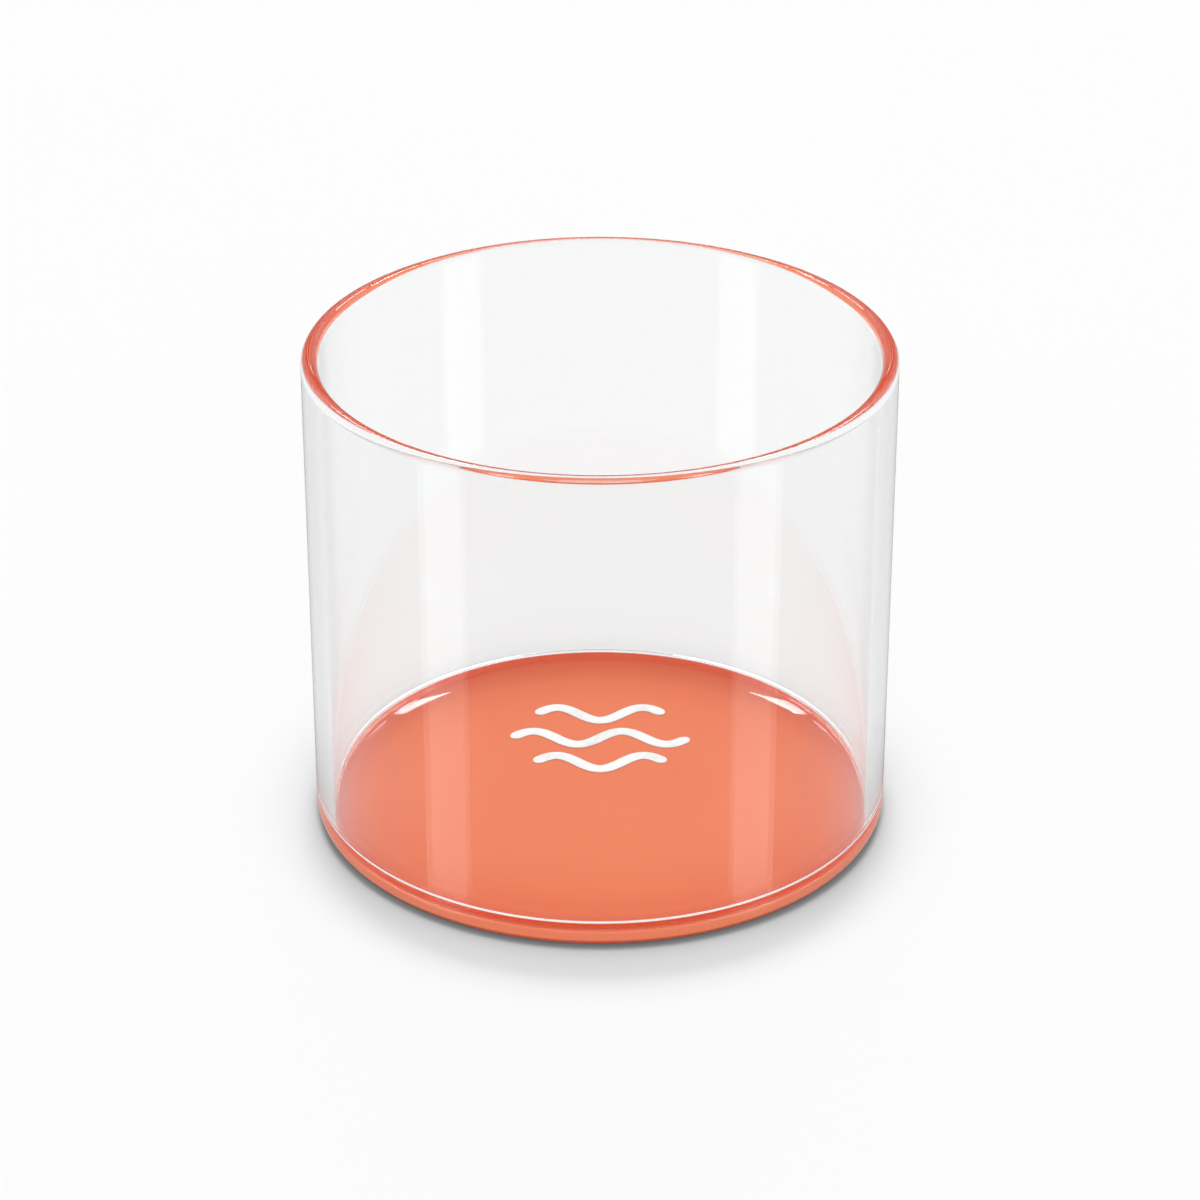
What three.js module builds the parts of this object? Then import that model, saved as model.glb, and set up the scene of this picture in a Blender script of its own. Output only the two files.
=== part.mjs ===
// Low water glass: a clear straight wall on an opaque coral base, joined by a clear seal ring.
// Millimetres, +Z up. The origin is the centre of the circle that the glass stands on.

import * as THREE from 'three';

// Whole glass
const OUTER_DIAMETER = 80;
const OVERALL_HEIGHT = 69.3;

// Clear wall, whose rim is fire-polished to a full round
const WALL_THICKNESS = 2.3;

// Coral base: raised edge that seats the wall, dished floor, rounded foot, shallow dome underneath
const BASE_EDGE_HEIGHT = 2.7;
const FLOOR_THICKNESS = 1.6;
const FLOOR_SWEEP_WIDTH = 5;
const FOOT_ROUND_RADIUS = 2.1;
const STANDING_RING_WIDTH = 7;
const UNDERSIDE_DOME_RISE = 0.4;

// Seal between wall and base: a thin layer on the seat, drawn up into a bead in the inside corner
const SEAL_THICKNESS = 0.15;
const SEAL_BEAD_WIDTH = 0.8;
const SEAM_EDGE_RADIUS = 0.25;

// Facets of the revolved solids
const SEGMENTS_AROUND = 80;
const RIM_STEPS = 12;
const FOOT_STEPS = 6;
const DOME_STEPS = 4;
const SWEEP_STEPS = 5;
const BEAD_STEPS = 4;
const SEAM_EDGE_STEPS = 2;

const QUARTER_TURN = Math.PI / 2;
const HALF_TURN = Math.PI;

const outerRadius = OUTER_DIAMETER / 2;
const innerRadius = outerRadius - WALL_THICKNESS;
const seatOuterRadius = outerRadius - SEAM_EDGE_RADIUS;
const seatInnerRadius = innerRadius - SEAL_BEAD_WIDTH;
const seatHeight = BASE_EDGE_HEIGHT;
const wallBottom = seatHeight + SEAL_THICKNESS;

// A profile point: distance from the glass's axis, and height.
function at(radius, height) {
  return new THREE.Vector2(radius, height);
}

// Points along an arc. Profiles run anticlockwise, so angles grow round an outside edge and fall
// along a hollow.
function arc(centre, radius, fromAngle, toAngle, steps) {
  const clockwise = toAngle < fromAngle;
  const curve = new THREE.EllipseCurve(centre.x, centre.y, radius, radius, fromAngle, toAngle, clockwise);
  return curve.getPoints(steps);
}

// Radius of the arc that leaves a flat tangentially and climbs a given rise over a given run.
function sweepRadius(run, rise) {
  return (run ** 2 + rise ** 2) / (2 * rise);
}

// Clear wall: seam edge outside, full-round rim, straight bore.
function wallProfile() {
  const rimRadius = WALL_THICKNESS / 2;
  const rimCentre = at(outerRadius - rimRadius, OVERALL_HEIGHT - rimRadius);
  const seamCentre = at(seatOuterRadius, wallBottom + SEAM_EDGE_RADIUS);
  return [
    at(innerRadius, wallBottom),
    ...arc(seamCentre, SEAM_EDGE_RADIUS, -QUARTER_TURN, 0, SEAM_EDGE_STEPS),
    ...arc(rimCentre, rimRadius, 0, HALF_TURN, RIM_STEPS),
    at(innerRadius, wallBottom),
  ];
}

// Clear seal: flat under the wall, with a hollow bead against the foot of the bore.
function sealProfile() {
  const beadCentre = at(seatInnerRadius, seatHeight + SEAL_BEAD_WIDTH);
  return [
    at(seatInnerRadius, seatHeight),
    at(seatOuterRadius, seatHeight),
    at(seatOuterRadius, wallBottom),
    at(innerRadius, wallBottom),
    ...arc(beadCentre, SEAL_BEAD_WIDTH, 0, -QUARTER_TURN, BEAD_STEPS),
  ];
}

// Coral base: dome and standing ring below, rounded foot, seam edge, seat, dished floor.
function baseProfile() {
  const footRadius = Math.min(FOOT_ROUND_RADIUS, BASE_EDGE_HEIGHT - SEAM_EDGE_RADIUS);
  const footCentre = at(outerRadius - footRadius, footRadius);
  const seamCentre = at(seatOuterRadius, seatHeight - SEAM_EDGE_RADIUS);

  const domeEdgeRadius = footCentre.x - STANDING_RING_WIDTH;
  const domeRadius = sweepRadius(domeEdgeRadius, UNDERSIDE_DOME_RISE);
  const domeCentre = at(0, UNDERSIDE_DOME_RISE - domeRadius);
  const domeEdgeAngle = Math.acos(domeEdgeRadius / domeRadius);

  const floorRadius = seatInnerRadius - FLOOR_SWEEP_WIDTH;
  const floorSweep = sweepRadius(FLOOR_SWEEP_WIDTH, seatHeight - FLOOR_THICKNESS);
  const sweepCentre = at(floorRadius, FLOOR_THICKNESS + floorSweep);
  const sweepTopAngle = -Math.acos(FLOOR_SWEEP_WIDTH / floorSweep);
  return [
    ...arc(domeCentre, domeRadius, QUARTER_TURN, domeEdgeAngle, DOME_STEPS),
    ...arc(footCentre, footRadius, -QUARTER_TURN, 0, FOOT_STEPS),
    ...arc(seamCentre, SEAM_EDGE_RADIUS, 0, QUARTER_TURN, SEAM_EDGE_STEPS),
    ...arc(sweepCentre, floorSweep, sweepTopAngle, -QUARTER_TURN, SWEEP_STEPS),
    at(0, FLOOR_THICKNESS),
  ];
}

// A named piece: its profile, run anticlockwise, turned about the glass's axis.
function turnedPiece(name, profile, finish) {
  const geometry = new THREE.LatheGeometry(profile, SEGMENTS_AROUND).rotateX(QUARTER_TURN);
  const piece = new THREE.Mesh(geometry, new THREE.MeshStandardMaterial(finish));
  piece.name = name;
  return piece;
}

const clearGlass = { color: '#f2f5f5', roughness: 0.03, metalness: 0, transparent: true, opacity: 0.25 };
const clearSeal = { color: '#f6f4f0', roughness: 0.1, metalness: 0, transparent: true, opacity: 0.4 };
const coralGlass = { color: '#ee7f5e', roughness: 0.12, metalness: 0 };

const waterGlass = new THREE.Group();
waterGlass.name = 'water_glass';
waterGlass.add(
  turnedPiece('coral_base', baseProfile(), coralGlass),
  turnedPiece('seal_ring', sealProfile(), clearSeal),
  turnedPiece('glass_wall', wallProfile(), clearGlass),
);

export default waterGlass;
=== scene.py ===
"""A low water glass on a pale table: clear wall, clear seal, coral base and a white enamel print.

Metres, +Z up. The origin is the centre of the circle that the glass stands on.
"""

import logging
import math
from dataclasses import dataclass
from enum import Enum

import bmesh
import bpy
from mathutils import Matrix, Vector


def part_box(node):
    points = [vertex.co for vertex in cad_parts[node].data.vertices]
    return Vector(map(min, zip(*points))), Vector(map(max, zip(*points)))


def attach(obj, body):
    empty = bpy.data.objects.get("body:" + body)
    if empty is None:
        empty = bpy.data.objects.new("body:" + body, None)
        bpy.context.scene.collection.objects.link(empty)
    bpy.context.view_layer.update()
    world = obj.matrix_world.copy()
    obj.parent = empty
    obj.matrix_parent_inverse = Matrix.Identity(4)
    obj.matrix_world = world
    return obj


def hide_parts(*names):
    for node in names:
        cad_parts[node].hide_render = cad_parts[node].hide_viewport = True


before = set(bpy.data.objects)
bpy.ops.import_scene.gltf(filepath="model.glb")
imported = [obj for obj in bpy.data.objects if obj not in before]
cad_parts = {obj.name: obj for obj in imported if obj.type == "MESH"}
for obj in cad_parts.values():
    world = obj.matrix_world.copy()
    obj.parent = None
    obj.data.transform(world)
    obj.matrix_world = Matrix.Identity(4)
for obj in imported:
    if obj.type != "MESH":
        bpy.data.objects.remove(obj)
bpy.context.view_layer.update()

LOG = logging.getLogger("water_glass")

MM = 0.001
BODY = "root"
TURN_STEPS = 256
MERGE_DISTANCE = 1e-7
SHARP_ANGLE = math.radians(30)

WHITE = (1.0, 1.0, 1.0, 1.0)
GLASS_REFRACTION = 1.5
MAX_BOUNCES = 48

# Range that most values of a noise node lie in
NOISE_RANGE = (0.35, 0.65)

# Half a step between whole numbers, for tests on counts of bounces
HALF_COUNT = 0.5

# Numbers of the colour sockets of a Mix node
MIX_FIRST = 6
MIX_SECOND = 7
MIX_RESULT = 2

Colour = tuple[float, float, float, float]
Span = tuple[float, float]
Stops = tuple[tuple[float, float], ...]
Socket = bpy.types.NodeSocket


class Ray(Enum):
    """Light Path outputs that tell one kind of ray from another."""

    CAMERA = "Is Camera Ray"
    GLOSSY = "Is Glossy Ray"
    TRANSMISSION = "Is Transmission Ray"
    SHADOW = "Is Shadow Ray"
    DIFFUSE = "Is Diffuse Ray"
    BOUNCES = "Ray Depth"
    MIRRORINGS = "Glossy Depth"
    LENGTH = "Ray Length"


class Slot(Enum):
    """Names of the material slots."""

    CLEAR_GLASS = "clear_glass"
    CLEAR_SEAL = "clear_seal"
    CORAL_GLASS = "coral_glass"


class Side(Enum):
    """Sides of the set, as signs of X."""

    LEFT = -1
    RIGHT = 1


def grey(level: float) -> Colour:
    """Give the grey of a brightness."""
    return (level, level, level, 1.0)


def stand_at(
    item: bpy.types.Object, aim: Vector, azimuth: float, elevation: float, distance: float
) -> None:
    """Add a lamp or camera to the scene, and let it face a point.

    Args:
        item: The lamp or camera.
        aim: The point that it faces.
        azimuth: Degrees from straight behind the glass towards the right.
        elevation: Degrees above the table.
        distance: Distance from the point.
    """
    bpy.context.scene.collection.objects.link(item)
    turn = math.radians(azimuth)
    rise = math.radians(elevation)
    level = math.cos(rise)
    away = Vector((math.sin(turn) * level, math.cos(turn) * level, math.sin(rise)))
    item.location = aim + away * distance
    item.rotation_euler = away.to_track_quat("Z", "Y").to_euler()


@dataclass(frozen=True)
class Corner:
    """One corner of a profile that is turned about the glass's axis.

    Attributes:
        radius: Distance from the axis.
        height: Height above the table.
        cut: Length that the rounding takes off each side of the corner, 0 for a sharp corner.
        steps: Facets of the rounding.
    """

    radius: float
    height: float
    cut: float = 0.0
    steps: int = 1


def tangent_cut(run: float, rise: float) -> float:
    """Give the cut of an arc that leaves a flat smoothly and climbs a rise over a run.

    Args:
        run: Length of the arc along the flat.
        rise: Height that the arc climbs.

    Returns:
        The distance from either end of the arc to the corner that it rounds.
    """
    return (run**2 + rise**2) / (2 * run)


def piece_from(name: str, mesh: bmesh.types.BMesh) -> bpy.types.Object:
    """Make a smooth-shaded object of a bmesh, with its edges sharp where its faces turn sharply.

    Args:
        name: Name of the piece.
        mesh: The finished shape, which is freed.

    Returns:
        The new object, at the origin.
    """
    for edge in mesh.edges:
        edge.smooth = edge.calc_face_angle(0.0) < SHARP_ANGLE
    for face in mesh.faces:
        face.smooth = True
    data = bpy.data.meshes.new(name)
    mesh.to_mesh(data)
    mesh.free()
    piece = bpy.data.objects.new(name, data)
    bpy.context.scene.collection.objects.link(piece)
    return piece


def turned_piece(name: str, corners: list[Corner], closed: bool) -> bpy.types.Object:
    """Turn a profile of a few corners about the glass's axis.

    Args:
        name: Name of the piece.
        corners: The profile, in order.
        closed: Whether the last corner joins the first; an open profile ends on the axis.

    Returns:
        The turned piece, with normals that follow its flats.
    """
    mesh = bmesh.new()
    points = [mesh.verts.new((corner.radius, 0.0, corner.height)) for corner in corners]
    following = points[1:] + points[:1] if closed else points[1:]
    for start, end in zip(points, following):
        mesh.edges.new((start, end))
    for point, corner in zip(points, corners):
        if corner.cut > 0:
            bmesh.ops.bevel(
                mesh, geom=[point], offset=corner.cut, offset_type="OFFSET",
                segments=corner.steps, profile=0.5, affect="VERTICES", clamp_overlap=False,
                material=-1,
            )
    bmesh.ops.remove_doubles(mesh, verts=mesh.verts, dist=MERGE_DISTANCE)
    bmesh.ops.spin(
        mesh, geom=mesh.verts[:] + mesh.edges[:], cent=(0, 0, 0), axis=(0, 0, 1),
        angle=math.tau, steps=TURN_STEPS, use_merge=True,
    )
    bmesh.ops.remove_doubles(mesh, verts=mesh.verts, dist=MERGE_DISTANCE)
    bmesh.ops.recalc_face_normals(mesh, faces=mesh.faces)
    piece = piece_from(name, mesh)
    shading = piece.modifiers.new("flat_normals", "WEIGHTED_NORMAL")
    shading.keep_sharp = True
    return piece


class ShaderGraph:
    """Adds and links the nodes of one material or world."""

    def __init__(self, tree: bpy.types.NodeTree) -> None:
        """Start from an empty tree."""
        self.tree = tree
        tree.nodes.clear()

    def node(
        self, kind: str, values: dict[str | int, object] | None = None, **settings: object
    ) -> bpy.types.Node:
        """Add a node.

        Args:
            kind: Node type without its ShaderNode prefix.
            values: Input values by socket name or number.
            **settings: Other properties of the node.

        Returns:
            The new node.
        """
        made = self.tree.nodes.new("ShaderNode" + kind)
        for key, value in settings.items():
            setattr(made, key, value)
        for key, value in (values or {}).items():
            made.inputs[key].default_value = value
        return made

    def link(self, source: Socket, target: Socket) -> None:
        """Link one socket to another."""
        self.tree.links.new(source, target)

    def feed(self, value: Socket | float | Colour, target: Socket) -> None:
        """Link a socket to another, or set it to a number or colour.

        Args:
            value: What the socket gets.
            target: The socket.
        """
        if isinstance(value, Socket):
            self.link(value, target)
        else:
            target.default_value = value

    def math(self, operation: str, *terms: Socket | float) -> Socket:
        """Add a sum, a product, a test or the like.

        Args:
            operation: Name of the operation.
            *terms: Its terms, in order.

        Returns:
            The result, which is 1 or 0 for a test.
        """
        made = self.node("Math", operation=operation)
        for term, target in zip(terms, made.inputs):
            self.feed(term, target)
        return made.outputs[0]

    def either(self, first: Socket, second: Socket) -> Socket:
        """Give the larger of two factors."""
        return self.math("MAXIMUM", first, second)

    def remap(self, value: Socket, source: Span, target: Span = (0.0, 1.0)) -> Socket:
        """Map a value from one range to another, and hold it at the ends.

        Args:
            value: The value.
            source: Range that it comes from.
            target: Range that it goes to.

        Returns:
            The mapped value.
        """
        (low, high), (first, last) = source, target
        mapped = self.node(
            "MapRange", {"From Min": low, "From Max": high, "To Min": first, "To Max": last}
        )
        self.link(value, mapped.inputs["Value"])
        return mapped.outputs["Result"]

    def place(self) -> Socket:
        """Give the Object coordinates."""
        return self.node("TexCoord").outputs["Object"]

    def height(self) -> Socket:
        """Give the height above the table.

        Returns:
            The Z of the Object coordinates.
        """
        parts = self.node("SeparateXYZ")
        self.link(self.place(), parts.inputs[0])
        return parts.outputs["Z"]

    def level_vector(self) -> Socket:
        """Give the level way from the glass's axis.

        Returns:
            The Object coordinates without their height.
        """
        level = self.node("VectorMath", {1: (1, 1, 0)}, operation="MULTIPLY")
        self.link(self.place(), level.inputs[0])
        return level.outputs["Vector"]

    def radius(self) -> Socket:
        """Give the distance from the glass's axis.

        Returns:
            The length of the level way.
        """
        length = self.node("VectorMath", operation="LENGTH")
        self.link(self.level_vector(), length.inputs[0])
        return length.outputs["Value"]

    def turn(self) -> Socket:
        """Give the turn round the glass's axis.

        Returns:
            0 straight before the axis, 1 to the sides of it and 2 straight behind it.
        """
        way = self.node("VectorMath", operation="NORMALIZE")
        self.link(self.level_vector(), way.inputs[0])
        backward = self.node("VectorMath", {1: (0, 1, 0)}, operation="DOT_PRODUCT")
        self.link(way.outputs["Vector"], backward.inputs[0])
        return self.math("ADD", backward.outputs["Value"], 1.0)

    def noise(self, scale: float, detail: float = 3.0) -> Socket:
        """Add noise on Object coordinates.

        Args:
            scale: Cycles per metre.
            detail: Octaves of finer noise.

        Returns:
            The noise value, about 0.5 on average.
        """
        noise = self.node("TexNoise", {"Scale": scale, "Detail": detail})
        self.link(self.place(), noise.inputs["Vector"])
        return noise.outputs["Fac"]

    def spread(self, scale: float, low: float, high: float) -> Socket:
        """Give noise that is spread between two values.

        Args:
            scale: Cycles of the noise per metre.
            low: Result where the noise is weak.
            high: Result where the noise is strong.

        Returns:
            The value between them.
        """
        return self.remap(self.noise(scale), NOISE_RANGE, (low, high))

    def blend(self, factor: Socket, first: Socket | Colour, second: Socket | Colour) -> Socket:
        """Mix two colours.

        Args:
            factor: Share of the second colour.
            first: Colour at 0.
            second: Colour at 1.

        Returns:
            The mixed colour.
        """
        mix = self.node("Mix", data_type="RGBA")
        self.link(factor, mix.inputs["Factor"])
        self.feed(first, mix.inputs[MIX_FIRST])
        self.feed(second, mix.inputs[MIX_SECOND])
        return mix.outputs[MIX_RESULT]

    def ramp(self, value: Socket, full: float, stops: Stops) -> Socket:
        """Follow a line of straight steps.

        Args:
            value: Value along the line, from 0.
            full: Value at the line's end.
            stops: Values and the results there, in order.

        Returns:
            The result at the value.
        """
        line = self.node("ValToRGB")
        self.link(self.remap(value, (0.0, full)), line.inputs["Fac"])
        marks = line.color_ramp.elements
        while len(marks) < len(stops):
            marks.new(1.0)
        for mark, (place, level) in zip(marks, stops):
            mark.position = place / full
            mark.color = grey(level)
        return line.outputs["Color"]

    def bump(self, height: Socket, depth: float) -> Socket:
        """Bend the surface normal by a height.

        Args:
            height: Height, 0 to 1.
            depth: Depth that a height of 1 stands for.

        Returns:
            The bent normal.
        """
        bump = self.node("Bump", {"Distance": depth})
        self.link(height, bump.inputs["Height"])
        return bump.outputs["Normal"]

    def ray(self, kind: Ray) -> Socket:
        """Give the Light Path output of a kind of ray."""
        return self.node("LightPath").outputs[kind.value]

    def any_ray(self, kinds: list[Ray]) -> Socket:
        """Tell rays of some kinds from the others.

        Args:
            kinds: Kinds of ray, two or more.

        Returns:
            1 on rays of any of the kinds, and 0 on others.
        """
        joined = self.ray(kinds[0])
        for kind in kinds[1:]:
            joined = self.either(joined, self.ray(kind))
        return joined

    def mix(self, factor: Socket, first: bpy.types.Node, second: bpy.types.Node) -> bpy.types.Node:
        """Mix two shaders.

        Args:
            factor: Share of the second shader.
            first: Shader at 0.
            second: Shader at 1.

        Returns:
            The mix node.
        """
        mixed = self.node("MixShader")
        for source, target in zip((factor, first.outputs[0], second.outputs[0]), mixed.inputs):
            self.link(source, target)
        return mixed

    def output(self, shader: bpy.types.Node, kind: str = "OutputMaterial") -> None:
        """Link a shader to the tree's output."""
        self.link(shader.outputs[0], self.node(kind).inputs["Surface"])


def new_material(name: str) -> tuple[bpy.types.Material, ShaderGraph]:
    """Start a node material.

    Args:
        name: Name of the material.

    Returns:
        The material and the graph that fills it.
    """
    material = bpy.data.materials.new(name)
    material.use_nodes = True
    return material, ShaderGraph(material.node_tree)


@dataclass(frozen=True)
class ClearGlassFinish:
    """Polished clear glass, with a slight waviness, the odd dull smear and, where it turns milky, a
    painted glow.

    Attributes:
        name: Name of the material.
        tint: Colour of what is seen through it.
        wave: Depth of the waviness.
        milky_lip: Heights between which the glass turns milky, if it does.
        lip_painted_glow: Brightness of a painted glow on the milky part, a painted highlight that
            stands in for light that comes down inside the wall.
        shade: Share of the light that each face lets through to what lies behind it.
        smear: Roughness of the smears.
        mirror: Strength of its reflections face-on, where 1 is bare glass.
        leak: Number of bounces after which light that is caught in the glass leaks out of it.
        smear_scale: Smears per metre.
        wave_scale: Waves per metre.
        wave_detail: Octaves of finer waves.
    """

    name: str
    tint: Colour
    wave: float
    milky_lip: Span | None = None
    lip_painted_glow: float = 0.0
    shade: float = 0.985
    smear: float = 0.015
    mirror: float = 0.35
    leak: int = 21
    smear_scale: float = 45.0
    wave_scale: float = 30.0
    wave_detail: float = 1.0

    def material(self) -> bpy.types.Material:
        """Build the finish.

        Returns:
            The material.
        """
        material, graph = new_material(self.name)
        glass = graph.node(
            "BsdfPrincipled",
            {
                "Base Color": self.tint,
                "Transmission Weight": 1.0,
                "IOR": GLASS_REFRACTION,
                "Specular Tint": grey(self.mirror),
            },
        )
        if self.milky_lip:
            height = graph.height()
            clearness = graph.remap(height, self.milky_lip, (1.0, 0.0))
            # Painted highlight: the milky lip glows by emission, which stands in for light that
            # comes down inside the wall.
            glow = graph.remap(height, self.milky_lip, (0.0, self.lip_painted_glow))
            graph.link(clearness, glass.inputs["Transmission Weight"])
            graph.link(glow, glass.inputs["Emission Strength"])
        graph.link(graph.spread(self.smear_scale, 0.0, self.smear), glass.inputs["Roughness"])
        waves = graph.noise(self.wave_scale, self.wave_detail)
        graph.link(graph.bump(waves, self.wave), glass.inputs["Normal"])
        clear = graph.node("BsdfTransparent", {"Color": grey(self.shade)})
        leaked = graph.math("GREATER_THAN", graph.ray(Ray.BOUNCES), self.leak + HALF_COUNT)
        passed = graph.either(leaked, graph.any_ray([Ray.SHADOW, Ray.DIFFUSE]))
        graph.output(graph.mix(passed, glass, clear))
        return material


@dataclass(frozen=True)
class CoralGlassFinish:
    """Opaque coral glass, with faint clouds in its colour, a painted shade that deepens it towards
    the wall, and a fine orange peel in its gloss.

    Attributes:
        name: Name of the material.
        deep: Colour of the deeper clouds.
        light: Colour of the lighter clouds.
        seat_and_shade_colour: Deeper colour of the seat, where clear glass lies on it without air
            between; the same colour is the painted shade on floor and sweep towards the wall.
        seat_and_shade_shares: Shares of that colour by distances from the axis: full on the seat,
            and a painted shade that grows over floor and sweep towards the wall.
        gloss: Roughness where it shines most.
        dull: Roughness where it shines least.
        peel: Depth of the orange peel.
        cloud_scale: Clouds per metre.
        dull_scale: Dull patches per metre.
        peel_scale: Dimples of the orange peel per metre.
    """

    name: str
    deep: Colour
    light: Colour
    seat_and_shade_colour: Colour
    seat_and_shade_shares: Stops
    gloss: float
    dull: float
    peel: float
    cloud_scale: float = 38.0
    dull_scale: float = 110.0
    peel_scale: float = 420.0

    def material(self) -> bpy.types.Material:
        """Build the finish.

        Returns:
            The material.
        """
        material, graph = new_material(self.name)
        coral = graph.node("BsdfPrincipled", {"IOR": GLASS_REFRACTION})
        clouds = graph.blend(graph.noise(self.cloud_scale), self.deep, self.light)
        # Painted shade: floor and sweep darken towards the wall, blending into the seat colour.
        share = graph.ramp(graph.radius(), self.seat_and_shade_shares[-1][0], self.seat_and_shade_shares)
        graph.link(graph.blend(share, clouds, self.seat_and_shade_colour), coral.inputs["Base Color"])
        graph.link(graph.spread(self.dull_scale, self.gloss, self.dull), coral.inputs["Roughness"])
        graph.link(graph.bump(graph.noise(self.peel_scale), self.peel), coral.inputs["Normal"])
        graph.output(coral)
        return material


@dataclass(frozen=True)
class EnamelFinish:
    """Fired white enamel, a little uneven in thickness and shine.

    Attributes:
        name: Name of the material.
        thin: Colour where the coat is thin.
        thick: Colour where the coat covers fully.
        gloss: Roughness where it shines most.
        dull: Roughness where it shines least.
        grain: Depth of the grain.
        cover_scale: Thin patches per metre.
        dull_scale: Dull patches per metre.
        grain_scale: Grains per metre.
    """

    name: str
    thin: Colour
    thick: Colour
    gloss: float
    dull: float
    grain: float
    cover_scale: float = 160.0
    dull_scale: float = 240.0
    grain_scale: float = 900.0

    def material(self) -> bpy.types.Material:
        """Build the finish.

        Returns:
            The material.
        """
        material, graph = new_material(self.name)
        enamel = graph.node("BsdfPrincipled", {"IOR": GLASS_REFRACTION})
        cover = graph.blend(graph.noise(self.cover_scale), self.thin, self.thick)
        graph.link(cover, enamel.inputs["Base Color"])
        graph.link(graph.spread(self.dull_scale, self.gloss, self.dull), enamel.inputs["Roughness"])
        graph.link(graph.bump(graph.noise(self.grain_scale), self.grain), enamel.inputs["Normal"])
        graph.output(enamel)
        return material


@dataclass(frozen=True)
class GlassSizes:
    """Sizes that the pieces share. Those without a value are measured on the frame.

    Attributes:
        outer_radius: Outside radius of wall and base.
        overall_height: Height of the rim.
        seat_height: Height of the base's raised edge.
        wall_bottom: Height of the wall's lower end.
        bead_width: Width and height of the seal's bead inside.
        wall_thickness: Thickness of the wall.
        floor_height: Height of the floor inside.
        sweep_width: Width of the sweep from floor to raised edge.
        foot_radius: Radius of the rounded foot.
        standing_ring_width: Width of the ring that the glass stands on.
        dome_rise: Height of the shallow dome underneath.
        seam_edge_radius: Radius of the edges on both sides of the seam.
        contact: Depth that clear pieces reach into their neighbours, so that no air is between.
    """

    outer_radius: float
    overall_height: float
    seat_height: float
    wall_bottom: float
    bead_width: float
    wall_thickness: float = 2.3 * MM
    floor_height: float = 1.6 * MM
    sweep_width: float = 5 * MM
    foot_radius: float = 2.1 * MM
    standing_ring_width: float = 7 * MM
    dome_rise: float = 0.4 * MM
    seam_edge_radius: float = 0.25 * MM
    contact: float = 0.03 * MM

    @classmethod
    def from_frame(cls) -> "GlassSizes":
        """Measure the frame's nodes.

        Returns:
            The sizes of this glass.
        """
        wall_low, wall_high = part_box("glass_wall")
        base_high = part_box("coral_base")[1]
        seal_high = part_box("seal_ring")[1]
        return cls(
            outer_radius=wall_high.x,
            overall_height=wall_high.z,
            seat_height=base_high.z,
            wall_bottom=wall_low.z,
            bead_width=seal_high.z - base_high.z,
        )

    @property
    def inner_radius(self) -> float:
        """Radius of the bore."""
        return self.outer_radius - self.wall_thickness

    @property
    def seat_inner_radius(self) -> float:
        """Radius at which the sweep meets the raised edge."""
        return self.inner_radius - self.bead_width

    @property
    def seat_outer_radius(self) -> float:
        """Radius at which the seat meets the seam's edge."""
        return self.outer_radius - self.seam_edge_radius

    @property
    def floor_radius(self) -> float:
        """Radius of the flat part of the floor."""
        return self.seat_inner_radius - self.sweep_width


@dataclass(frozen=True)
class GlassWall:
    """The clear wall: a straight tube with a fire-polished rim and a foot fused to the seat.

    Attributes:
        sizes: Sizes of the glass.
        finish: Finish of the wall.
        rim_steps: Facets of each half of the rim.
        seam_steps: Facets of the seam's edge.
    """

    sizes: GlassSizes
    finish: ClearGlassFinish
    rim_steps: int = 12
    seam_steps: int = 4

    def build(self) -> bpy.types.Object:
        """Turn the wall.

        Returns:
            The wall, whose foot reaches a little into the seat.
        """
        s = self.sizes
        rim = s.wall_thickness / 2
        foot = s.seat_height - s.contact
        return turned_piece(
            "clear_wall",
            [
                Corner(s.inner_radius, foot),
                Corner(s.seat_outer_radius, foot),
                Corner(s.seat_outer_radius, s.wall_bottom),
                Corner(s.outer_radius, s.wall_bottom, s.seam_edge_radius, self.seam_steps),
                Corner(s.outer_radius, s.overall_height, rim, self.rim_steps),
                Corner(s.inner_radius, s.overall_height, rim, self.rim_steps),
            ],
            closed=True,
        )

    def dress(self, piece: bpy.types.Object) -> None:
        """Give the wall its finish and its place in the frame.

        Args:
            piece: The wall.
        """
        piece.data.materials.append(self.finish.material())
        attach(piece, BODY)
        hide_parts("glass_wall")


@dataclass(frozen=True)
class SealRing:
    """The clear seal: a hollow bead in the inside corner of wall and seat.

    Attributes:
        sizes: Sizes of the glass.
        finish: Finish of the seal.
        bead_steps: Facets of the bead.
    """

    sizes: GlassSizes
    finish: ClearGlassFinish
    bead_steps: int = 8

    def build(self) -> bpy.types.Object:
        """Turn the seal.

        Returns:
            The seal, whose hidden faces reach a little into wall and base.
        """
        s = self.sizes
        bottom = s.seat_height - s.contact
        bore = s.inner_radius + s.contact
        reach = s.bead_width + s.contact
        return turned_piece(
            "clear_seal",
            [
                Corner(bore, bottom),
                Corner(bore, bottom + reach),
                Corner(bore, bottom, reach, self.bead_steps),
                Corner(bore - reach, bottom),
            ],
            closed=True,
        )

    def dress(self, piece: bpy.types.Object) -> None:
        """Give the seal its finish and its place in the frame.

        Args:
            piece: The seal.
        """
        piece.data.materials.append(self.finish.material())
        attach(piece, BODY)
        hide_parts("seal_ring")


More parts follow.
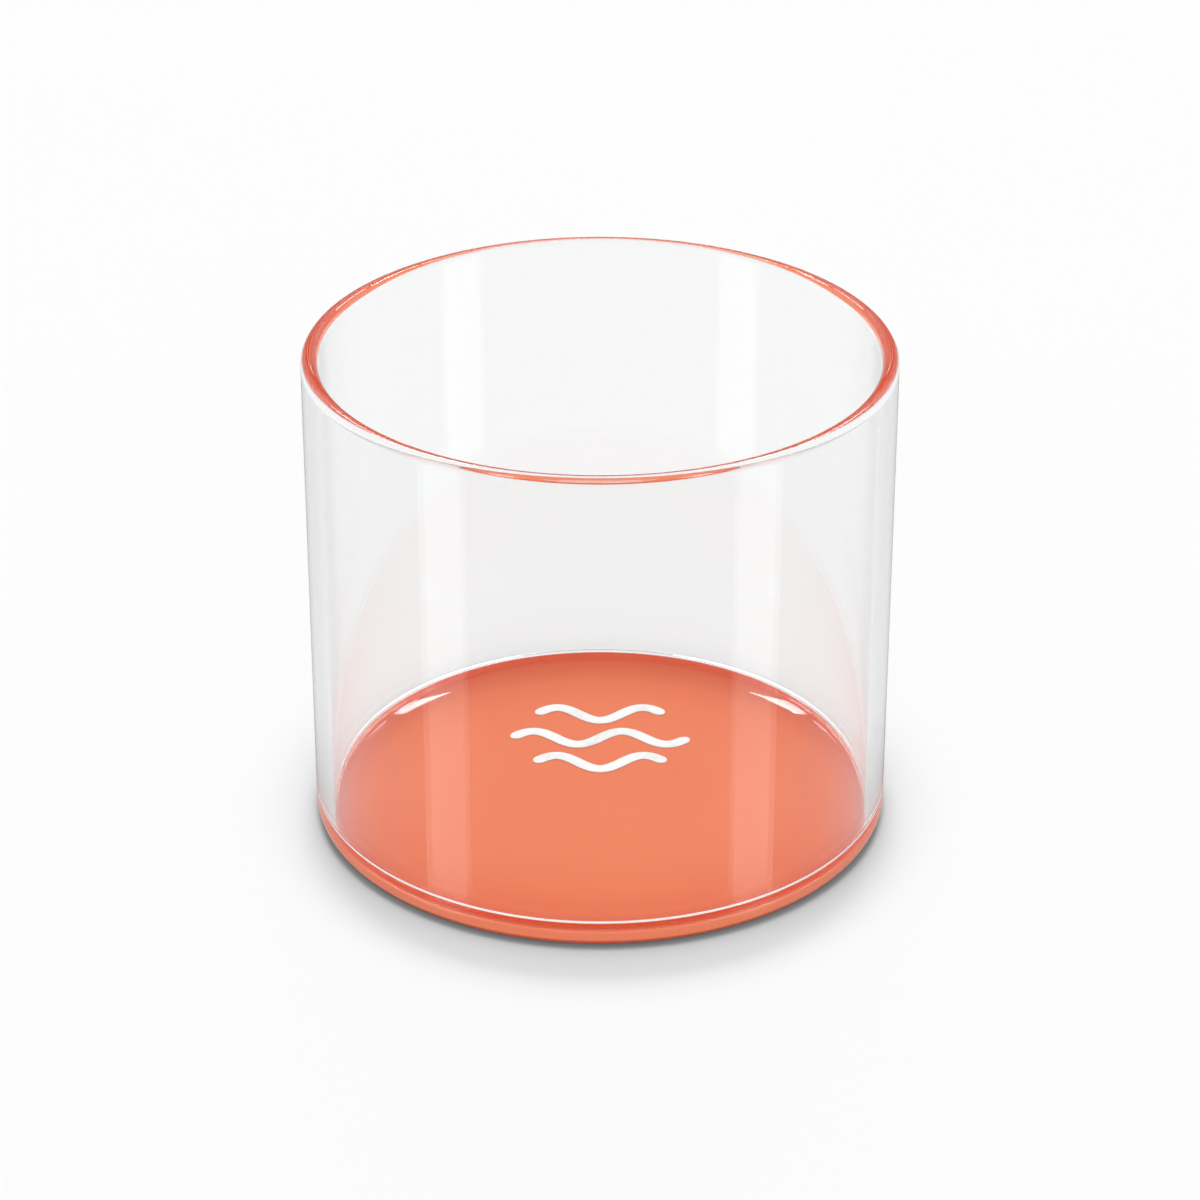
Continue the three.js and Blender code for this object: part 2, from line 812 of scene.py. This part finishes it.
@dataclass(frozen=True)
class CoralBase:
    """The coral base: domed underside, rounded foot, raised seat and dished floor.

    Attributes:
        sizes: Sizes of the glass.
        finish: Finish of the base.
        foot_steps: Facets of the foot.
        seam_steps: Facets of the seam's edge.
        sweep_steps: Facets of the sweep.
        dome_steps: Facets of the dome.
    """

    sizes: GlassSizes
    finish: CoralGlassFinish
    foot_steps: int = 16
    seam_steps: int = 4
    sweep_steps: int = 24
    dome_steps: int = 12

    def build(self) -> bpy.types.Object:
        """Turn the base.

        Returns:
            The base.
        """
        s = self.sizes
        dome_radius = s.outer_radius - s.foot_radius - s.standing_ring_width
        dome_cut = tangent_cut(dome_radius, s.dome_rise)
        sweep_cut = tangent_cut(s.sweep_width, s.seat_height - s.floor_height)
        return turned_piece(
            "coral_base_dressed",
            [
                Corner(0.0, s.dome_rise),
                Corner(dome_cut, s.dome_rise, dome_cut, self.dome_steps),
                Corner(dome_radius, 0.0),
                Corner(s.outer_radius, 0.0, s.foot_radius, self.foot_steps),
                Corner(s.outer_radius, s.seat_height, s.seam_edge_radius, self.seam_steps),
                Corner(s.seat_inner_radius, s.seat_height),
                Corner(s.floor_radius + sweep_cut, s.floor_height, sweep_cut, self.sweep_steps),
                Corner(0.0, s.floor_height),
            ],
            closed=False,
        )

    def dress(self, piece: bpy.types.Object) -> None:
        """Give the base its finish and its place in the frame.

        Args:
            piece: The base.
        """
        piece.data.materials.append(self.finish.material())
        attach(piece, BODY)
        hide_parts("coral_base")


@dataclass(frozen=True)
class Ripple:
    """One wave-shaped brush stroke of the print.

    Attributes:
        name: Name of the piece.
        depth: Distance behind the glass's axis.
        length: Length of the stroke.
        waves: Number of full waves.
    """

    name: str
    depth: float
    length: float
    waves: float


@dataclass(frozen=True)
class FloorPrint:
    """White ripples in raised enamel on the floor.

    Attributes:
        sizes: Sizes of the glass.
        finish: Finish of the enamel.
        ripples: The strokes.
        swing: Height of the waves to each side.
        half_width: Half the width of a stroke.
        coat: Thickness of the enamel.
        steps: Steps along a stroke.
        blunting: Share of a stroke's length that is left off at each end.
    """

    sizes: GlassSizes
    finish: EnamelFinish
    ripples: tuple[Ripple, ...]
    swing: float = 1.9 * MM
    half_width: float = 0.95 * MM
    coat: float = 0.08 * MM
    steps: int = 72
    blunting: float = 0.002

    def sides(self, ripple: Ripple, step: int) -> tuple[Vector, Vector]:
        """Give both sides of a stroke.

        Args:
            ripple: The stroke.
            step: Step along it.

        Returns:
            Its left and right side there.
        """
        share = self.blunting + (1.0 - 2.0 * self.blunting) * step / self.steps
        phase = math.tau * ripple.waves * share
        along = ripple.length * (share - 0.5)
        back = ripple.depth + self.swing * math.sin(phase)
        middle = Vector((along, back, self.sizes.floor_height))
        slope = self.swing * math.cos(phase) * math.tau * ripple.waves / ripple.length
        across = Vector((-slope, 1.0, 0.0)).normalized()
        to_tip = ripple.length * min(share, 1.0 - share) / self.half_width
        width = self.half_width * math.sqrt(1.0 - max(0.0, 1.0 - to_tip) ** 2)
        return middle + across * width, middle - across * width

    def build(self, ripple: Ripple) -> bpy.types.Object:
        """Draw a stroke by extruding its starting edge along the wave.

        Args:
            ripple: The stroke.

        Returns:
            The raised stroke.
        """
        mesh = bmesh.new()
        edge = mesh.edges.new([mesh.verts.new(place) for place in self.sides(ripple, 0)])
        for step in range(1, self.steps + 1):
            grown = bmesh.ops.extrude_edge_only(mesh, edges=[edge])["geom"]
            ends = [part for part in grown if isinstance(part, bmesh.types.BMVert)]
            edges = [part for part in grown if isinstance(part, bmesh.types.BMEdge)]
            edge = next(part for part in edges if set(part.verts) == set(ends))
            for end, place in zip(ends, self.sides(ripple, step)):
                end.co = place
        raised = bmesh.ops.extrude_face_region(mesh, geom=mesh.faces[:])["geom"]
        top = [part for part in raised if isinstance(part, bmesh.types.BMVert)]
        bmesh.ops.translate(mesh, verts=top, vec=(0.0, 0.0, self.coat))
        bmesh.ops.recalc_face_normals(mesh, faces=mesh.faces)
        return piece_from(ripple.name, mesh)

    def dress(self, pieces: list[bpy.types.Object]) -> None:
        """Give the strokes their finish and their place in the frame.

        Args:
            pieces: The strokes.
        """
        enamel = self.finish.material()
        for piece in pieces:
            piece.data.materials.append(enamel)
            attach(piece, BODY)


@dataclass(frozen=True)
class Softbox:
    """A soft lamp that faces the glass.

    Attributes:
        name: Name of the lamp.
        azimuth: Degrees from straight behind the glass towards the right.
        elevation: Degrees above the table.
        distance: Distance from the middle of the glass.
        width: Width of the lamp.
        height: Height of the lamp.
        brightness: Radiance of its face, where 1 is white.
        lights: Whether it lights matt surfaces; if not, it only shows in glossy ones.
    """

    name: str
    azimuth: float
    elevation: float
    distance: float
    width: float
    height: float
    brightness: float
    lights: bool = False

    def build(self, aim: Vector) -> None:
        """Hang the lamp.

        Args:
            aim: The point that it faces.
        """
        data = bpy.data.lights.new(self.name, "AREA")
        data.shape = "RECTANGLE"
        data.size = self.width
        data.size_y = self.height
        data.energy = self.brightness * math.pi * self.width * self.height
        lamp = bpy.data.objects.new(self.name, data)
        stand_at(lamp, aim, self.azimuth, self.elevation, self.distance)
        lamp.visible_camera = False
        lamp.visible_diffuse = self.lights
        lamp.visible_glossy = not self.lights
        lamp.visible_transmission = not self.lights


@dataclass(frozen=True)
class Table:
    """A pale table with a painted shade round the glass, which mirrored rays pass, and a card below
    it that they show.

    Attributes:
        size: Width and depth of table and card.
        pale: Colour of the table.
        cloudy: Colour of its faint clouds.
        contact: Colour of the painted shade where the glass shades it fully.
        painted_shade_reach: Distance from the glass over which that painted shade fades.
        card_depth: Distance of the card below the table.
        card_tones: Brightness of the card by the turn: 0 in front, 1 at the sides, 2 behind.
        card_disc: Shares of that brightness by distances from the glass's axis.
        card_lengths: Lengths of the mirrored rays between which they come to show the card.
        cloud_scale: Clouds per metre.
        painted_shade_samples: Rays that measure the painted shade at a point.
    """

    size: float
    pale: Colour
    cloudy: Colour
    contact: Colour
    painted_shade_reach: float
    card_depth: float
    card_tones: Stops
    card_disc: Stops
    card_lengths: Span
    cloud_scale: float = 6.0
    painted_shade_samples: int = 8

    def sheet(self, name: str, height: float) -> bpy.types.Object:
        """Lay a square sheet.

        Args:
            name: Name of the sheet.
            height: Its height.

        Returns:
            The sheet, which casts no shadow and is unseen by rays off matt surfaces.
        """
        mesh = bmesh.new()
        bmesh.ops.create_grid(mesh, x_segments=1, y_segments=1, size=self.size / 2)
        bmesh.ops.translate(mesh, verts=mesh.verts, vec=(0.0, 0.0, height))
        sheet = piece_from(name, mesh)
        sheet.visible_shadow = False
        sheet.visible_diffuse = False
        return sheet

    def table_material(self) -> bpy.types.Material:
        """Build the table's finish.

        Returns:
            A matt material with a painted shade round the glass, and open to mirrored rays and from
            below.
        """
        material, graph = new_material("pale_table")
        matt = graph.node("BsdfPrincipled", {"Roughness": 1.0, "Specular IOR Level": 0.0})
        # Painted shade: ambient occlusion darkens the table's colour towards the contact colour
        # near the glass, on top of its real shadow.
        painted_shade_openness = graph.node(
            "AmbientOcclusion", {"Distance": self.painted_shade_reach}, samples=self.painted_shade_samples
        )
        clouds = graph.blend(graph.noise(self.cloud_scale), self.cloudy, self.pale)
        tone = graph.blend(painted_shade_openness.outputs["AO"], self.contact, clouds)
        graph.link(tone, matt.inputs["Base Color"])
        mirrored_once = graph.math("COMPARE", graph.ray(Ray.MIRRORINGS), 1.0, HALF_COUNT)
        away = graph.remap(graph.ray(Ray.LENGTH), self.card_lengths)
        passed = graph.math("MULTIPLY", mirrored_once, away)
        clear = graph.either(passed, graph.node("NewGeometry").outputs["Backfacing"])
        graph.output(graph.mix(clear, matt, graph.node("BsdfTransparent")))
        return material

    def card_material(self) -> bpy.types.Material:
        """Build the card's finish.

        Returns:
            A glow that changes from front to back and is weaker below the glass.
        """
        material, graph = new_material("glowing_card")
        glow = graph.node("Emission")
        tones = graph.ramp(graph.turn(), self.card_tones[-1][0], self.card_tones)
        graph.link(tones, glow.inputs["Color"])
        shares = graph.ramp(graph.radius(), self.size, self.card_disc)
        graph.link(shares, glow.inputs["Strength"])
        graph.output(glow)
        return material

    def build(self) -> None:
        """Lay the table and the card."""
        self.sheet("table", 0.0).data.materials.append(self.table_material())
        card = self.sheet("card", -self.card_depth)
        card.data.materials.append(self.card_material())
        card.visible_camera = False


@dataclass(frozen=True)
class Studio:
    """Table, soft lamps and the white room round them.

    Attributes:
        table: The table.
        lamps: The lamps.
        fill: Brightness of the room as light on matt surfaces, from above and from below.
        dusk: Brightness of the room's dark end, which only mirrored rays see.
        dusk_elevation: Degrees at which the dark end lies above the table.
        dusk_reach: Degrees from its middle to its inner and outer edge.
        fill_blend: Drop below level over which the fill from above turns to that from below.
    """

    table: Table
    lamps: tuple[Softbox, ...]
    fill: Span
    dusk: float
    dusk_elevation: float
    dusk_reach: Span
    fill_blend: float = 0.1

    def room(self) -> None:
        """Build the room: white where it is seen, dark at one end in mirrors, softer as light."""
        world = bpy.data.worlds.new("white_room")
        world.use_nodes = True
        bpy.context.scene.world = world
        graph = ShaderGraph(world.node_tree)
        light = graph.node("Background", {"Color": WHITE})
        white = graph.node("Background", {"Color": WHITE})

        way = graph.node("TexCoord").outputs["Generated"]
        parts = graph.node("SeparateXYZ")
        graph.link(way, parts.inputs[0])
        above, below = self.fill
        level = graph.remap(parts.outputs["Z"], (-self.fill_blend, 0.0), (below, above))
        graph.link(level, light.inputs["Strength"])

        rise = math.radians(self.dusk_elevation)
        to_dusk = (0.0, math.cos(rise), math.sin(rise))
        nearness = graph.node("VectorMath", {1: to_dusk}, operation="DOT_PRODUCT")
        graph.link(way, nearness.inputs[0])
        inner, outer = (math.cos(math.radians(reach)) for reach in self.dusk_reach)
        tone = graph.remap(nearness.outputs["Value"], (outer, inner), (1.0, self.dusk))
        straight = graph.math("LESS_THAN", graph.ray(Ray.MIRRORINGS), HALF_COUNT)
        graph.link(graph.either(tone, straight), white.inputs["Strength"])

        seen = graph.any_ray([Ray.CAMERA, Ray.GLOSSY, Ray.TRANSMISSION])
        graph.output(graph.mix(seen, light, white), "OutputWorld")

    def build(self, aim: Vector) -> None:
        """Set up the studio.

        Args:
            aim: The point that the lamps face.
        """
        self.room()
        self.table.build()
        for lamp in self.lamps:
            lamp.build(aim)


@dataclass(frozen=True)
class PhotoCamera:
    """The camera at the photograph's place.

    Attributes:
        aim_height: Height of the point on the glass's axis that it faces.
        distance: Distance from that point.
        elevation: Degrees above the table.
        lens: Focal length in millimetres on the sensor below.
        sensor: Width of the sensor in millimetres.
        azimuth: Degrees from straight behind the glass towards the right.
    """

    aim_height: float
    distance: float
    elevation: float
    lens: float
    sensor: float = 36.0
    azimuth: float = 180.0

    @property
    def aim(self) -> Vector:
        """The point that the camera faces."""
        return Vector((0.0, 0.0, self.aim_height))

    def build(self) -> None:
        """Set up the camera."""
        data = bpy.data.cameras.new("photo_camera")
        data.lens = self.lens
        data.sensor_width = self.sensor
        camera = bpy.data.objects.new("photo_camera", data)
        stand_at(camera, self.aim, self.azimuth, self.elevation, self.distance)
        bpy.context.scene.camera = camera


def make_parts(sizes: GlassSizes) -> tuple[GlassWall, SealRing, CoralBase]:
    """Plan the pieces of the glass.

    Args:
        sizes: Sizes of the glass.

    Returns:
        The wall, the seal and the base.
    """
    clear_glass = ClearGlassFinish("clear_glass", tint=(0.95, 0.954, 0.954, 1), wave=0.008 * MM)
    # The seal's lip carries a painted glow, a painted highlight along the inside corner.
    clear_seal = ClearGlassFinish(
        "clear_seal", tint=(0.98, 0.98, 0.978, 1), wave=0.002 * MM,
        milky_lip=(3.1 * MM, 3.25 * MM), lip_painted_glow=0.35,
    )
    coral_glass = CoralGlassFinish(
        "coral_glass",
        deep=(0.91, 0.218, 0.099, 1),
        light=(0.95, 0.239, 0.111, 1),
        # The seat colour also paints shade on floor and sweep towards the wall.
        seat_and_shade_colour=(0.73, 0.064, 0.008, 1),
        seat_and_shade_shares=(
            (18 * MM, 0.0), (26 * MM, 0.08), (33 * MM, 0.3), (36 * MM, 0.6),
            (37 * MM, 1.0), (39.7 * MM, 1.0), (39.8 * MM, 0.0), (40 * MM, 0.0),
        ),
        gloss=0.02, dull=0.05, peel=0.004 * MM,
    )
    return GlassWall(sizes, clear_glass), SealRing(sizes, clear_seal), CoralBase(sizes, coral_glass)


def make_print(sizes: GlassSizes) -> FloorPrint:
    """Plan the print on the floor.

    Args:
        sizes: Sizes of the glass.

    Returns:
        The print.
    """
    enamel = EnamelFinish(
        "white_enamel", thin=(0.93, 0.91, 0.9, 1), thick=(0.97, 0.97, 0.96, 1),
        gloss=0.22, dull=0.4, grain=0.008 * MM,
    )
    ripples = (
        Ripple("near_ripple", depth=7.5 * MM, length=19 * MM, waves=1.5),
        Ripple("middle_ripple", depth=14.5 * MM, length=26 * MM, waves=2.0),
        Ripple("far_ripple", depth=21.5 * MM, length=19 * MM, waves=1.5),
    )
    return FloorPrint(sizes, enamel, ripples)


def make_lamps() -> tuple[Softbox, ...]:
    """Plan the lamps.

    Returns:
        Three lamps that light the table and the coral, and on each side two that glint in the sweep
        of the floor and one that shows as a pale band in the wall.
    """
    lamps = [
        Softbox(
            "key", azimuth=0, elevation=88, distance=6.0,
            width=2.4, height=2.4, brightness=6.75, lights=True,
        ),
        Softbox(
            "front", azimuth=180, elevation=20, distance=6.0,
            width=4.8, height=3.2, brightness=2.35, lights=True,
        ),
        Softbox(
            "low_back", azimuth=0, elevation=16, distance=12.0,
            width=8.0, height=2.4, brightness=21, lights=True,
        ),
    ]
    for side in Side:
        label = side.name.lower()
        lamps += [
            Softbox(
                f"back_high_{label}", azimuth=22.5 * side.value, elevation=47.6, distance=1.0,
                width=0.26, height=0.085, brightness=24,
            ),
            Softbox(
                f"back_low_{label}", azimuth=22 * side.value, elevation=39, distance=1.0,
                width=0.18, height=0.14, brightness=10,
            ),
            Softbox(
                f"strip_{label}", azimuth=118 * side.value, elevation=6, distance=0.55,
                width=0.19, height=1.4, brightness=1.6,
            ),
        ]
    return tuple(lamps)


def make_studio() -> Studio:
    """Plan the studio.

    Returns:
        The table, the lamps and the room.
    """
    # The table's contact colour is a painted shade round the glass.
    table = Table(
        size=4.0, pale=grey(0.9), cloudy=grey(0.89), contact=grey(0.71), painted_shade_reach=11 * MM,
        card_depth=0.4,
        card_tones=(
            (1.0, 0.92), (1.4, 1.0), (1.6, 0.98), (1.78, 0.82),
            (1.93, 0.74), (1.965, 0.52), (2.0, 0.25),
        ),
        card_disc=((0.66, 0.6), (0.76, 1.0)),
        card_lengths=(3 * MM, 12 * MM),
    )
    return Studio(
        table, make_lamps(), fill=(0.45, 0.72), dusk=0.15, dusk_elevation=35, dusk_reach=(38, 58)
    )


def set_render() -> None:
    """Set plain colours, and let rays pass clear glass as often as its rim and foot need."""
    scene = bpy.context.scene
    scene.view_settings.view_transform = "Standard"
    scene.cycles.max_bounces = MAX_BOUNCES
    scene.cycles.diffuse_bounces = 0
    scene.cycles.glossy_bounces = MAX_BOUNCES
    scene.cycles.transmission_bounces = MAX_BOUNCES
    scene.cycles.transparent_max_bounces = MAX_BOUNCES
    scene.cycles.sample_clamp_indirect = 0
    scene.cycles.caustics_reflective = False
    scene.cycles.caustics_refractive = False


def report(piece: bpy.types.Object) -> None:
    """Log a finished piece."""
    LOG.info("%s: %d faces", piece.name, len(piece.data.polygons))


def main() -> None:
    """Build the glass, dress it and set it on the table."""
    logging.basicConfig(level=logging.INFO, format="%(name)s: %(message)s")
    sizes = GlassSizes.from_frame()

    camera = PhotoCamera(aim_height=31.37 * MM, distance=533.9 * MM, elevation=27.781, lens=115.92)
    camera.build()

    for part in make_parts(sizes):
        piece = part.build()
        part.dress(piece)
        report(piece)

    floor_print = make_print(sizes)
    strokes = [floor_print.build(ripple) for ripple in floor_print.ripples]
    floor_print.dress(strokes)
    for stroke in strokes:
        report(stroke)

    make_studio().build(camera.aim)
    set_render()


if __name__ == "__main__":
    main()
